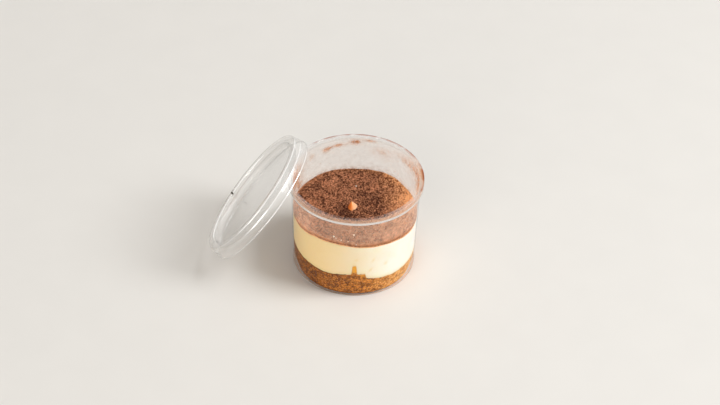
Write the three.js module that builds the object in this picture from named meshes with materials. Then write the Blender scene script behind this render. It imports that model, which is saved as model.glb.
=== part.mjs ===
// Tiramisu in a clear plastic portion pot, with the pot's clear snap lid leaning on its rim.
//
// The food is three layers that fill the pot from wall to wall: soaked sponge, mascarpone
// cream and a thin skin of cocoa. The cream's piping tip stands up through the cocoa.
// Units are millimetres, +Z is up and the front of the pot faces -Y. The pieces are laid out
// about the pot's own axis, and the whole is then moved so that the origin lies under the
// middle of its bounding box, on the surface that it stands on.

import * as THREE from "three";

// ---- driving dimensions -----------------------------------------------------------------

// Pot
const potHeight = 58.7;
const rimRadius = 38; // outside of the rolled lip
const wall = 0.8;
const shoulderRadius = 36.2; // outside of the wall, just under the lip
const baseRadius = 34.4; // outside of the wall, at the table
const lipDrop = 3.7; // how far the lip turns down
const lipWall = 0.8;
const footHeight = 0.5; // hollow under the floor
const footWidth = 2.4;
const cornerRadius = 1.1; // outside corner between wall and foot

// Lid
const flangeRadius = 40.4;
const lidHeight = 8.5;
const lidRecess = 4.35; // how far the middle panel sits below the top ring
const lidWall = 0.7;
const ringRadius = 39.3; // outside of the top ring
const skirtRadius = 39.8; // outside of the skirt, below its step
const skirtStep = 4.7; // height of the step in the skirt
const plugRadius = 35.2; // outside of the plug that enters the pot
const plugDraft = 0.6;
const lidTilt = THREE.MathUtils.degToRad(53.7); // between the lid's axis and the vertical
const lidAzimuth = THREE.MathUtils.degToRad(170.1); // side of the pot that the lid leans on
const lidReach = 52.85; // from the pot's axis to the middle of the flange, away from the pot
const lidSideStep = 1.2; // sideways from there, towards the front

// Food
const gap = 0.3; // clearance between pieces that touch
const cocoaLevel = 36.2; // cocoa surface on the pot's axis
const cocoaSlope = new THREE.Vector2(-0.026, -0.023);
const cocoaThickness = 0.9;
const spongeLevel = 13.5; // top of the sponge on the pot's axis
const spongeSlope = new THREE.Vector2(-0.083, -0.003);
const tip = { x: -0.7, y: -1.4, radius: 1.15, height: 2.7, collar: 2.4 };
const dimple = { x: -4.6, y: -3.3, radius: 2.6, depth: 0.6 };
const tongue = { angle: -91, width: 4.2, height: 2.6, depth: 4 };

// Fineness
const roundSegments = 60;
const foodSegments = 60;

// ---- small helpers ----------------------------------------------------------------------

/** A body turned about the vertical axis from [radius, height] pairs. */
function turned(profile) {
  const points = profile.map(([radius, height]) => new THREE.Vector2(radius, height));
  const geometry = new THREE.LatheGeometry(points, roundSegments);
  geometry.rotateX(Math.PI / 2);
  return geometry;
}

/** Points of a quarter bend about (radius, height), from one angle to another in degrees. */
function bend(radius, height, size, from, to, steps = 3) {
  const points = [];
  for (let i = 0; i <= steps; i++) {
    const angle = THREE.MathUtils.degToRad(from + ((to - from) * i) / steps);
    points.push([radius + size * Math.cos(angle), height + size * Math.sin(angle)]);
  }
  return points;
}

/** A rounded bump of height 1 at the middle of its place, fading out over its radius. */
function bump(x, y, place) {
  const distance = Math.hypot(x - place.x, y - place.y) / place.radius;
  return Math.exp(-distance * distance);
}

/** Radius of the pot's inner wall at a height. */
function innerRadius(z) {
  const rise = (shoulderRadius - baseRadius) / (potHeight - lipDrop);
  return baseRadius + rise * z - wall;
}

function clearPlastic(opacity) {
  return new THREE.MeshStandardMaterial({
    color: 0xeef2f2,
    roughness: 0.08,
    metalness: 0,
    transparent: true,
    opacity,
  });
}

function food(color, roughness) {
  return new THREE.MeshStandardMaterial({ color, roughness, metalness: 0 });
}

function named(name, geometry, material) {
  const mesh = new THREE.Mesh(geometry, material);
  mesh.name = name;
  return mesh;
}

// ---- pot --------------------------------------------------------------------------------

/** Thin tapered cup on a low foot ring, with a lip rolled out and down round its mouth. */
function pot() {
  const floorTop = footHeight + wall;
  const lipBottom = potHeight - lipDrop;
  const lipInner = rimRadius - lipWall;
  const wallTop = shoulderRadius + 0.05;
  const profile = [
    [0, footHeight],
    [baseRadius - cornerRadius - footWidth, footHeight],
    [baseRadius - cornerRadius - footWidth + footHeight, 0],
    ...bend(baseRadius - cornerRadius, cornerRadius, cornerRadius, -90, 0, 2),
    [shoulderRadius, lipBottom],
    [wallTop, potHeight - lipWall - 0.3],
    [wallTop + 0.3, potHeight - lipWall],
    [lipInner - 0.4, potHeight - lipWall],
    [lipInner, potHeight - lipWall - 0.4],
    [lipInner, lipBottom],
    [rimRadius - 0.1, lipBottom],
    ...bend(rimRadius - 0.9, potHeight - 0.9, 0.9, 0, 90),
    ...bend(shoulderRadius - wall + 0.6, potHeight - 0.6, 0.6, 90, 180, 2),
    [shoulderRadius - wall, lipBottom],
    [innerRadius(floorTop + 1.2), floorTop + 1.2],
    [innerRadius(floorTop) - 1.2, floorTop],
    [0, floorTop],
  ];
  return named("pot", turned(profile), clearPlastic(0.3));
}

// ---- lid --------------------------------------------------------------------------------

/** Snap lid: flange, stepped skirt, top ring and a middle panel sunk to plug the mouth. */
function lid() {
  const panelTop = lidHeight - lidRecess;
  const panelBottom = panelTop - lidWall;
  const channelTop = lidHeight - lidWall;
  const plugInner = plugRadius - lidWall;
  const stepInner = ringRadius - lidWall;
  const profile = [
    [0, panelBottom],
    [plugRadius - plugDraft - 0.7, panelBottom],
    [plugRadius - plugDraft, panelBottom + 0.7],
    [plugRadius, channelTop],
    [stepInner - 0.5, channelTop],
    [stepInner, channelTop - 0.5],
    [stepInner, skirtStep + 0.2],
    [skirtRadius - lidWall, skirtStep - 0.4],
    [skirtRadius - lidWall, 0],
    [flangeRadius, 0],
    [flangeRadius, lidWall],
    [skirtRadius, lidWall + 0.2],
    [skirtRadius, skirtStep],
    [ringRadius, skirtStep + 0.6],
    ...bend(ringRadius - 1, lidHeight - 1, 1, 0, 90, 2),
    [plugInner + 0.3, lidHeight],
    [plugInner, lidHeight - 0.3],
    [plugInner - plugDraft, panelTop + 0.6],
    [plugInner - plugDraft - 0.6, panelTop],
    [0, panelTop],
  ];
  return named("lid", turned(profile), clearPlastic(0.35));
}

/** The lid, stood on the edge of its flange and tipped over against the pot's rim. */
function leaningLid() {
  const stand = new THREE.Group();
  const away = new THREE.Vector2(Math.cos(lidAzimuth), Math.sin(lidAzimuth));
  const side = new THREE.Vector2(-away.y, away.x);
  const foot = away.clone().multiplyScalar(lidReach).addScaledVector(side, lidSideStep);
  stand.rotation.set(0, lidTilt, lidAzimuth, "ZYX");
  stand.position.set(foot.x, foot.y, flangeRadius * Math.sin(lidTilt));
  stand.add(lid());
  return stand;
}

// ---- food -------------------------------------------------------------------------------

/** Uneven top of the cocoa: it slopes up to the front, rolls a little and has soft knobs. */
function cocoaSurface(x, y) {
  const slope = cocoaLevel + cocoaSlope.x * x + cocoaSlope.y * y;
  const rolls = 0.3 * Math.sin(0.17 * x + 0.11 * y + 1) + 0.2 * Math.cos(0.31 * y - 0.12 * x);
  const knobs = 0.15 * Math.sin(0.5 * x + 0.5) * Math.cos(0.42 * y);
  return slope + rolls + knobs - dimple.depth * bump(x, y, dimple);
}

/** Top of the sponge, with a soaked tongue that climbs the front wall. */
function spongeSurface(x, y) {
  const slope = spongeLevel + spongeSlope.x * x + spongeSlope.y * y;
  const rolls = 0.35 * Math.sin(0.24 * x + 0.5) + 0.25 * Math.cos(0.33 * y + 0.2 * x);
  const angle = THREE.MathUtils.degToRad(tongue.angle);
  const along = -x * Math.sin(angle) + y * Math.cos(angle);
  const inward = innerRadius(spongeLevel) - (x * Math.cos(angle) + y * Math.sin(angle));
  const across = Math.exp(-((along / (tongue.width / 2)) ** 2));
  const climb = tongue.height * across * Math.exp(-((inward / tongue.depth) ** 2));
  return slope + rolls + climb;
}

/** The cream's top: the cocoa's underside, with the piping tip on it. */
function creamSurface(x, y) {
  const rise = tip.height + cocoaThickness + gap;
  return cocoaSurface(x, y) - cocoaThickness - gap + rise * bump(x, y, tip);
}

/**
 * One layer of food, between an under and an over face, that reaches the pot's wall all round.
 * Each face is a height function of x and y, sampled on rings that shrink from the wall to
 * the piping tip; rings are fractions of the way out. Rings that start over 0 leave a hole
 * round the tip. The corner between the under face and the wall is cut back by bevel.
 */
function layer(under, over, bevel = 0) {
  const positions = [];
  const loops = [];
  const angles = Array.from({ length: foodSegments }, (_, i) => (2 * Math.PI * i) / foodSegments);

  const wallPoint = (angle, height, inset = 0) => {
    const radius = innerRadius(height) - gap - inset;
    return [radius * Math.cos(angle), radius * Math.sin(angle)];
  };
  const edgeHeight = (surface, angle) => surface(...wallPoint(angle, cocoaLevel));
  const addLoop = (place) => {
    const start = positions.length / 3;
    angles.forEach((angle) => positions.push(...place(angle)));
    loops.push(angles.map((_, i) => start + i));
  };
  const addFace = ({ surface, rings }, order, inset) => {
    for (const fraction of order(rings.filter((ring) => ring > 0))) {
      addLoop((angle) => {
        const [outX, outY] = wallPoint(angle, edgeHeight(surface, angle), inset);
        const x = tip.x + fraction * (outX - tip.x);
        const y = tip.y + fraction * (outY - tip.y);
        return [x, y, surface(x, y)];
      });
    }
  };

  addFace(under, (rings) => rings, bevel);
  if (bevel > 0) {
    addLoop((angle) => {
      const height = edgeHeight(under.surface, angle) + bevel;
      return [...wallPoint(angle, height), height];
    });
  }
  addFace(over, (rings) => rings.reverse(), 0);

  // Squares are split along the same corners on both faces, so that stacked layers match.
  const faces = [];
  const join = (low, high, isUnder) => {
    for (let i = 0; i < foodSegments; i++) {
      const next = (i + 1) % foodSegments;
      if (isUnder) {
        faces.push(low[i], low[next], high[next], low[i], high[next], high[i]);
      } else {
        faces.push(high[i], low[i], low[next], high[i], low[next], high[next]);
      }
    }
  };
  const underLoops = under.rings.filter((ring) => ring > 0).length;
  for (let k = 0; k + 1 < loops.length; k++) {
    join(loops[k], loops[k + 1], k + 1 < underLoops);
  }
  if (under.rings[0] > 0) {
    join(loops.at(-1), loops[0], false);
  } else {
    const bottom = positions.length / 3;
    const top = bottom + 1;
    positions.push(tip.x, tip.y, under.surface(tip.x, tip.y));
    positions.push(tip.x, tip.y, over.surface(tip.x, tip.y));
    for (let i = 0; i < foodSegments; i++) {
      const next = (i + 1) % foodSegments;
      faces.push(bottom, loops[0][next], loops[0][i]);
      faces.push(top, loops.at(-1)[i], loops.at(-1)[next]);
    }
  }

  const geometry = new THREE.BufferGeometry();
  geometry.setAttribute("position", new THREE.Float32BufferAttribute(positions, 3));
  geometry.setIndex(faces);
  geometry.computeVertexNormals();
  return geometry;
}

const collarRing = tip.collar / innerRadius(cocoaLevel);
const tipRings = [0, 0.015, 0.03, 0.045];
const cocoaRings = [collarRing, 0.12, 0.2, 0.36, 0.54, 0.72, 0.88, 1];
const spongeRings = [0, 0.3, 0.56, 0.76, 0.88, 0.95, 1];

function spongeLayer() {
  const floor = footHeight + wall + gap;
  const under = { surface: () => floor, rings: [0, 1] };
  const over = { surface: spongeSurface, rings: spongeRings };
  return named("sponge_layer", layer(under, over, 1.2), food(0xa8672f, 0.75));
}

function creamLayer() {
  const under = { surface: (x, y) => spongeSurface(x, y) + gap, rings: spongeRings };
  const over = { surface: creamSurface, rings: [...tipRings, ...cocoaRings] };
  return named("cream_layer", layer(under, over), food(0xf6e3b8, 0.5));
}

function cocoaLayer() {
  const under = { surface: (x, y) => cocoaSurface(x, y) - cocoaThickness, rings: cocoaRings };
  const over = { surface: cocoaSurface, rings: cocoaRings };
  return named("cocoa_layer", layer(under, over), food(0x6b3a24, 0.95));
}

// ---- the whole --------------------------------------------------------------------------

const dessert = new THREE.Group();
dessert.add(pot(), spongeLayer(), creamLayer(), cocoaLayer(), leaningLid());
dessert.updateMatrixWorld(true);

const middle = new THREE.Box3().setFromObject(dessert, true).getCenter(new THREE.Vector3());
dessert.position.set(-middle.x, -middle.y, 0);

const part = new THREE.Group();
part.add(dessert);

export default part;
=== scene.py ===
"""Tiramisu in a clear plastic portion pot, with the pot's clear lid leaning on its rim.

Each operator makes one piece, or one group of like pieces, from the sizes and colours in the
property groups. Shapes are worked out in millimetres about the pot's own axis, and put() moves
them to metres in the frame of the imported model. Widths and places in formulas are millimetres.
"""

import math
from types import SimpleNamespace

import bpy
import numpy as np
from mathutils import Matrix, Vector


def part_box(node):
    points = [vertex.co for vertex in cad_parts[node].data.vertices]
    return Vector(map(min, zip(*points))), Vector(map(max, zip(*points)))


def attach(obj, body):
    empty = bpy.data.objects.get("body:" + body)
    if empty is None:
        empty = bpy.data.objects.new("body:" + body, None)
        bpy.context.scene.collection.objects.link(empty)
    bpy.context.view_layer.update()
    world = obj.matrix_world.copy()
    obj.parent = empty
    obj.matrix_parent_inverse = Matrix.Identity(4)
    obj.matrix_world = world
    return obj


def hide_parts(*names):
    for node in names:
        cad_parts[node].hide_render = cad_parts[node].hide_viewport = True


bl_info = {
    "name": "Tiramisu in a clear pot",
    "version": (1, 0, 0),
    "blender": (4, 5, 0),
    "location": "3D View > Sidebar > Tiramisu",
    "description": "Builds a layered tiramisu in its clear pot, with the lid leaning on the rim",
    "category": "Add Mesh",
}

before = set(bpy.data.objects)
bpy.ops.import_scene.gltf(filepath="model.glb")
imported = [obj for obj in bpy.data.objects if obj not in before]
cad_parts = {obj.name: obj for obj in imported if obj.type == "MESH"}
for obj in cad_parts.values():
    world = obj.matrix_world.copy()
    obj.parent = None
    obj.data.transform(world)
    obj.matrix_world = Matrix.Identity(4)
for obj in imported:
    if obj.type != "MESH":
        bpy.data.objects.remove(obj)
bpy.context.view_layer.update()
POT_LOW, POT_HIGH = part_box("pot")
AXIS = (POT_LOW + POT_HIGH) / 2  # the pot's own axis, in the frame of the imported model
MM = 1000  # millimetres in a metre, and the scale of a pattern that repeats once a millimetre


# ---- sizes and colours ------------------------------------------------------------------


def length(name, description, millimetres):
    """A length that is written in millimetres and kept in metres."""
    return bpy.props.FloatProperty(
        name=name, description=description, default=millimetres / MM, unit="LENGTH", precision=5
    )


def angle(name, description, degrees):
    """An angle that is written in degrees and kept in radians."""
    return bpy.props.FloatProperty(
        name=name, description=description, default=math.radians(degrees), subtype="ANGLE"
    )


def colour(name, description, code):
    """An sRGB colour as a hex code."""
    return bpy.props.StringProperty(name=name, description=description, default=code)


def amount(name, description, number):
    """A number with no unit, or with the one that its description says."""
    return bpy.props.FloatProperty(name=name, description=description, default=number)


def count(name, description, number):
    """How many there are of something."""
    return bpy.props.IntProperty(name=name, description=description, default=number)


class PotSettings(bpy.types.PropertyGroup):
    height: length("Height", "Table to the top of the lip", 58.7)
    rim: length("Rim radius", "Outside of the rolled lip", 38)
    wall: length("Wall", "Thickness of wall and floor", 0.8)
    shoulder: length("Shoulder radius", "Outside of the wall under the lip", 36.2)
    base: length("Base radius", "Outside of the wall at the table", 34.4)
    lip_drop: length("Lip drop", "How far the lip turns down", 3.7)
    lip_wall: length("Lip wall", "Thickness of the lip", 0.8)
    foot: length("Foot height", "Hollow under the floor", 0.5)
    foot_width: length("Foot width", "Width of the foot ring", 2.4)
    corner: length("Corner radius", "Outside corner between wall and foot", 1.1)
    bite: length("Bite", "How far the food reaches into the wall", 0.15)
    tint: colour("Plastic", "Colour of the clear plastic", "#FEFEFE")
    # This colour also paints the warm glow in the foot ring: painted light.
    lip_dust_and_glow: colour("Dusty lip", "Cocoa dust on the lip and warm light in the foot", "#F3C299")
    lip_cocoa: colour("Cocoa on the lip", "Line of cocoa on the lip's top edge", "#A04E1E")
    haze: colour("Dust film", "Colour of the film of cocoa dust on the wall", "#FFD3B4")
    rust: colour("Dust patches", "Colour of the thicker patches of dust", "#D08A4C")
    grain_count: count("Wall grains", "Cocoa grains on the inside of the wall", 3600)


class LidSettings(bpy.types.PropertyGroup):
    flange: length("Flange radius", "Outside of the flange", 40.4)
    height: length("Height", "Flange to the top ring", 8.5)
    recess: length("Recess", "How far the middle panel is sunk", 4.35)
    wall: length("Wall", "Thickness of the sheet", 0.7)
    ring: length("Ring radius", "Outside of the top ring", 39.3)
    skirt: length("Skirt radius", "Outside of the skirt below its step", 39.8)
    step: length("Skirt step", "Height of the step in the skirt", 4.7)
    plug: length("Plug radius", "Outside of the plug that enters the pot", 35.2)
    draft: length("Plug draft", "How much the plug narrows", 0.6)
    tilt: angle("Tilt", "Between the lid's axis and the vertical", 53.7)
    azimuth: angle("Side", "Side of the pot that the lid leans on", 170.1)
    reach: length("Reach", "Pot's axis to the middle of the flange", 52.85)
    side_step: length("Side step", "Sideways from there, towards the front", 1.2)


class FoodSettings(bpy.types.PropertyGroup):
    cocoa_level: length("Cocoa level", "Cocoa surface on the pot's axis", 36.2)
    cocoa_depth: length("Cocoa depth", "Thickness of the cocoa", 0.9)
    sponge_level: length("Sponge level", "Top of the sponge on the pot's axis", 13.5)
    clump: length("Clump", "Width of the larger cocoa clumps", 1.5)
    grain_count: count("Cocoa grains", "Loose grains on the cocoa", 8000)
    # The dark and light cocoa colours are painted shade in the gaps and painted light on the clumps,
    # over the powder's own brown.
    cocoa_dark: colour("Cocoa, dark", "Cocoa in the gaps", "#341609")
    cocoa_light: colour("Cocoa, light", "Cocoa on the clumps", "#CA8663")
    # The rust and warm cocoa colours paint orange where light comes through the right wall: painted
    # light.
    cocoa_rust: colour("Cocoa, rust", "Gaps in thin damp cocoa", "#7A3512")
    cocoa_warm: colour("Cocoa, warm", "Thin damp cocoa near the right wall", "#FFBE84")
    # The first two cream colours are painted light and shade: the cream is whiter on its lit right
    # side, and warmer and darker on its shaded left side.
    cream: colour("Cream", "Mascarpone cream", "#FFF8EA")
    cream_rich: colour("Cream, rich", "Cream with more egg in it, on the left", "#FBD99E")
    cream_deep: colour("Cream, deep", "Cream where it is stained by the sponge", "#F2CF84")
    cream_dried: colour("Cream, dried", "Flecks of cream on wall and cocoa", "#FFF9EA")
    amber: colour("Amber", "Coffee syrup in the sponge's tongue", "#F2A93C")
    # Painted shade: the amber colour of the tip's shaded side.
    tip: colour("Tip", "Syrup on the shaded side of the tip", "#EE8228")
    # The dark sponge colour is also painted shade in the pores, on the left and along the floor; the
    # palest one is painted light on the lit right side.
    sponge_dark: colour("Sponge, dark", "Pores and soaked edges", "#4A2006")
    sponge_mid: colour("Sponge, mid", "Soaked crumb", "#A86122")
    sponge_light: colour("Sponge, light", "Drier crumb", "#E0903A")
    sponge_pale: colour("Dry sponge", "Sponge where the syrup has not reached", "#F8C47E")
    crumb: colour("Dark crumb", "Crumb on the lid", "#20180F")
    crumb_pale: colour("Pale crumbs", "Crumbs on the lid", "#FFFDF8")


class StageSettings(bpy.types.PropertyGroup):
    floor: colour("Floor", "Plain pale floor", "#E5E1DD")
    key_power: amount("Key light", "Watts", 81)
    key_size: length("Key size", "Width of the soft light", 1350)
    key_side: angle("Key side", "How far behind the right-hand side the key stands", -8)
    key_height: angle("Key height", "Elevation of the key", 46)
    fill_power: amount("Fill light", "Watts", 31)
    window_power: amount("Window", "Watts", 42)
    sky: amount("Sky", "Soft light all round", 0.37)
    room: amount("Room", "How bright the room looks in the plastic", 1.3)


GROUPS = {
    "tiramisu_pot": PotSettings,
    "tiramisu_lid": LidSettings,
    "tiramisu_food": FoodSettings,
    "tiramisu_stage": StageSettings,
}


def sizes(group_name):
    """The group's values by name, with its lengths in millimetres."""
    group = getattr(bpy.context.scene, group_name)
    found = SimpleNamespace()
    for prop in group.bl_rna.properties:
        if prop.identifier in ("rna_type", "name"):
            continue
        value = getattr(group, prop.identifier)
        if getattr(prop, "unit", "") == "LENGTH":
            value *= MM
        setattr(found, prop.identifier, value)
    return found


# ---- noise and soft shapes --------------------------------------------------------------

# Large odd numbers that stir whole numbers into even random bits.
FIRST_BITS = 0x9E3779B97F4A7C15
STIR_BITS = 0xBF58476D1CE4E5B9
PRIMES = (73856093, 19349663, 83492791)


def scrambled(*whole_numbers):
    """An even random number from 0 to 1 for each three whole numbers, always the same."""
    shape = np.broadcast_shapes(*map(np.shape, whole_numbers))
    bits = np.atleast_1d(np.full(shape, FIRST_BITS, np.uint64))
    for number, prime in zip(whole_numbers, PRIMES):
        part = np.asarray(number).astype(np.int64).astype(np.uint64) * np.uint64(prime)
        bits = (bits ^ part) * np.uint64(STIR_BITS)
        bits = bits ^ (bits >> np.uint64(29))
    return ((bits >> np.uint64(40)).astype(float) / 2.0**24).reshape(shape)


def rolling(x, y, pitch, seed):
    """Soft noise from -1 to 1: random values on a square lattice, joined by smooth steps."""
    u, v = x / pitch, y / pitch
    i, j = np.floor(u), np.floor(v)
    s, t = u - i, v - j
    s, t = s * s * (3 - 2 * s), t * t * (3 - 2 * t)
    low = scrambled(i, j, seed) * (1 - s) + scrambled(i + 1, j, seed) * s
    high = scrambled(i, j + 1, seed) * (1 - s) + scrambled(i + 1, j + 1, seed) * s
    return 2 * (low * (1 - t) + high * t) - 1


def clumped(x, y, pitch, seed):
    """Round heaps, 1 at their middles and 0 between them: one heap stands at a random place in
    each square of the lattice, and the nearest one gives 1 - (distance / pitch)^2."""
    u, v = x / pitch, y / pitch
    i, j = np.floor(u), np.floor(v)
    nearest = np.full(np.shape(u), np.inf)
    for di in (-1, 0, 1):
        for dj in (-1, 0, 1):
            a, b = i + di, j + dj
            across = a + scrambled(a, b, seed) - u
            along = b + scrambled(a, b, seed + 101) - v
            nearest = np.minimum(nearest, across**2 + along**2)
    return np.clip(1 - nearest, 0, 1)


def bell(distance, width):
    """1 in the middle, fading to both sides as exp(-(distance / width)^2)."""
    return np.exp(-((distance / width) ** 2))


def hill(x, y, place, width, stretch=1.0, turn=0.0):
    """A round bell of height 1 at a place, longer by stretch along its turn."""
    c, s = math.cos(turn), math.sin(turn)
    across = (x - place[0]) * c + (y - place[1]) * s
    along = -(x - place[0]) * s + (y - place[1]) * c
    return bell(across, width * stretch) * bell(along, width)


def ramp(value, start, end):
    """0 up to the start, 1 from the end on, and a straight rise between them."""
    return np.clip((value - start) / (end - start), 0, 1)


def round_axis(radius, around, height):
    """Points at a radius, an angle and a height: (r cos a, r sin a, z)."""
    parts = np.broadcast_arrays(radius * np.cos(around), radius * np.sin(around), height)
    return np.stack(parts, -1)


# ---- meshes -----------------------------------------------------------------------------


def put(name, corners, faces, material, replaces=(), smooth=True, marks=None):
    """Makes a piece from corners in millimetres about the pot's axis and lists of faces. Marks
    are numbers at its corners that its material reads."""
    mesh = bpy.data.meshes.new(name)
    place = np.asarray(corners, float) / MM + np.array([AXIS.x, AXIS.y, 0])
    mesh.from_pydata(place.tolist(), [], [face for part in faces for face in part.tolist()])
    if mesh.validate():
        raise RuntimeError(f"{name} has faulty faces")
    if smooth:
        mesh.shade_smooth()
    for mark, values in (marks or {}).items():
        attribute = mesh.attributes.new(mark, "FLOAT", "POINT")
        attribute.data.foreach_set("value", np.asarray(values, np.float32))
    piece = bpy.data.objects.new(name, mesh)
    bpy.context.scene.collection.objects.link(piece)
    mesh.materials.append(material)
    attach(piece, "root")
    if replaces:
        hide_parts(*replaces)


def skin(loops, first=None, last=None, wrap=False):
    """Corners and faces of a surface stretched over closed loops, an array of loops by points.
    A pole closes an end with a fan; wrap joins the last loop to the first."""
    rows, columns = loops.shape[:2]
    corners = loops.reshape(-1, 3)
    index = np.arange(rows * columns).reshape(rows, columns)
    low, high = (index, np.roll(index, -1, 0)) if wrap else (index[:-1], index[1:])
    quads = np.stack([low, np.roll(low, -1, 1), np.roll(high, -1, 1), high], -1).reshape(-1, 4)
    faces = [quads]
    for pole, ring, flipped in ((first, index[0], True), (last, index[-1], False)):
        if pole is None:
            continue
        tip = np.full(columns, len(corners))
        corners = np.vstack([corners, pole])
        after = np.roll(ring, -1)
        faces.append(np.stack([tip, after, ring] if flipped else [tip, ring, after], -1))
    return corners, faces


LONGEST_CUT = 0.4  # of the shorter side at a corner
HOLD = 1.2  # cuts from a corner to its holding points


def eased(profile, steps):
    """A profile of (radius, height, cut) with each corner eased: between two points at a cut
    from the corner the line is the parabola (1-t)^2 a + 2t(1-t) corner + t^2 b, and a holding
    point past each end keeps the straight stretch flat. The two ends of the profile stay."""
    profile = np.asarray(profile, float)
    line, cuts = profile[:, :2], profile[:, 2]
    t = np.linspace(0, 1, steps + 1)[:, None]
    made = [line[:1]]
    for k in range(1, len(line) - 1):
        here = line[k]
        back, on = line[k - 1] - here, line[k + 1] - here
        cut = min(cuts[k], LONGEST_CUT * min(np.hypot(*back), np.hypot(*on)))
        back, on = back / np.hypot(*back), on / np.hypot(*on)
        a, b = here + back * cut, here + on * cut
        curve = (1 - t) ** 2 * a + 2 * t * (1 - t) * here + t**2 * b
        made += [(here + back * cut * HOLD)[None], curve, (here + on * cut * HOLD)[None]]
    made.append(line[-1:])
    return np.vstack(made)


def turned(profile, segments):
    """Corners and faces of a body turned about the upright axis, from a profile that starts and
    ends on the axis."""
    around = np.linspace(0, 2 * math.pi, segments, endpoint=False)
    loops = round_axis(profile[1:-1, :1], around, profile[1:-1, 1:])
    return skin(loops, (0, 0, profile[0, 1]), (0, 0, profile[-1, 1]))


GRAIN_SHAPE = np.array(
    [[1, 0, 0], [-1, 0, 0], [0, 1, 0], [0, -1, 0], [0, 0, 1], [0, 0, -1]], float
)
GRAIN_SIDES = np.array(
    [[0, 2, 4], [2, 1, 4], [1, 3, 4], [3, 0, 4], [2, 0, 5], [1, 2, 5], [3, 1, 5], [0, 3, 5]]
)


def grains(centres, radii, seed):
    """Small uneven eight-sided grains: an octahedron at each centre, turned and squashed at
    random, as corners and faces in one mesh."""
    random = np.random.default_rng(seed)
    number = len(centres)
    turns = np.linalg.qr(random.normal(size=(number, 3, 3)))[0]
    turns[:, :, 0] *= np.sign(np.linalg.det(turns))[:, None]
    squash = random.uniform(0.65, 1.2, (number, 1, 3))
    bodies = (GRAIN_SHAPE * squash) @ np.transpose(turns, (0, 2, 1)) * radii[:, None, None]
    corners = (bodies + centres[:, None]).reshape(-1, 3)
    starts = len(GRAIN_SHAPE) * np.arange(number)[:, None, None]
    return corners, [(GRAIN_SIDES + starts).reshape(-1, 3)]


# ---- the food's shape -------------------------------------------------------------------

TIP = (-2.2, 0.3)  # the cream's piping tip, from the pot's axis
DIMPLE, DIMPLE_DEPTH = (-5.1, -4.2), 0.9  # the hollow beside it

# How far the cocoa climbs or sinks at the wall: pairs of cosine and sine of 1a, 2a, 3a and 4a,
# less the mean sinking. It fades inwards from its radius over its width.
CLIMB = ((-0.07, 0.25), (-1.05, 0.25), (-0.08, 0.23), (-0.11, -0.34))
SINKING, CLIMB_RADIUS, CLIMB_WIDTH = 0.34, 34.6, 3.5

# Top line of the sponge on the front wall: place across and height, in mm.
SPONGE_LINE = (
    (-34, 16.2),
    (-30, 15.4),
    (-24, 14.7),
    (-16, 14.0),
    (-12.8, 14.4),
    (-9, 15.1),
    (-5, 15.6),
    (-1.8, 15.8),
    (2.3, 16.3),
    (6.9, 16.2),
    (7.5, 13.1),
    (9.8, 12.3),
    (15, 11.3),
    (21, 10.6),
    (26, 10.6),
    (34, 10.9),
)
TONGUE_AT, TONGUE_HALF_WIDTH, TONGUE_RISE = 0.75, 1.32, 6.2


def inner_radius(z, pot):
    """Radius of the inner wall, which widens evenly from the table to the lip."""
    return pot.base + (pot.shoulder - pot.base) / (pot.height - pot.lip_drop) * z - pot.wall


def cocoa_height(x, y, food):
    """The cocoa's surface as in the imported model: a slope up to the left, long rolls, soft
    knobs and a dimple beside the tip. Within a few millimetres of the wall it climbs or sinks
    a little, by a sum of waves round the pot."""
    slope = food.cocoa_level - 0.026 * x - 0.023 * y
    rolls = 0.3 * np.sin(0.17 * x + 0.11 * y + 1) + 0.2 * np.cos(0.31 * y - 0.12 * x)
    knobs = 0.15 * np.sin(0.5 * x + 0.5) * np.cos(0.42 * y)
    a = np.arctan2(y, x)
    waves = [p * np.cos(n * a) + q * np.sin(n * a) for n, (p, q) in enumerate(CLIMB, 1)]
    near_wall = np.exp(-np.clip(CLIMB_RADIUS - np.hypot(x, y), 0, None) / CLIMB_WIDTH)
    climb = (sum(waves) - SINKING) * near_wall
    return slope + rolls + knobs + climb - DIMPLE_DEPTH * hill(x, y, DIMPLE, 2.8, 1.3, -0.6)


def cocoa_relief(x, y, food):
    """Fine relief of sifted cocoa: heaps of two widths over uneven ground, from about -0.5 to
    0.5 mm."""
    wide = clumped(x, y, food.clump, 5) - 0.6
    narrow = clumped(x + 0.3 * rolling(x, y, 2.1, 8), y, food.clump * 0.55, 6) - 0.6
    ground = 0.22 * rolling(x, y, 3.4, 7) + 0.10 * rolling(x, y, 0.9, 9)
    return 0.42 * wide + 0.34 * narrow + ground


def sponge_height(x, y, food, pot):
    """Top of the sponge: a slope down to the right with rolls and small wiggles. On the front
    wall it follows its own line, with a narrow soaked tongue 1 / (1 + (x / half width)^16)
    that stands above it, and within 3 mm of the wall the one passes into the other."""
    inside = food.sponge_level - 0.083 * x - 0.003 * y
    inside = inside + 0.35 * np.sin(0.24 * x + 0.5) + 0.25 * np.cos(0.33 * y + 0.2 * x)
    line = np.interp(x, *np.transpose(SPONGE_LINE))
    tongue = TONGUE_RISE / (1 + ((x - TONGUE_AT) / TONGUE_HALF_WIDTH) ** 16)
    wiggles = 0.16 * rolling(x, y, 3.1, 21) + 0.16 * rolling(x, y, 1.1, 22)
    depth = np.clip(inner_radius(food.sponge_level, pot) - np.hypot(x, y), 0, None)
    at_wall = bell(depth, 3.0) * ramp(-y, 0, 8)
    return inside + at_wall * (line + tongue - inside) + wiggles


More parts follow.
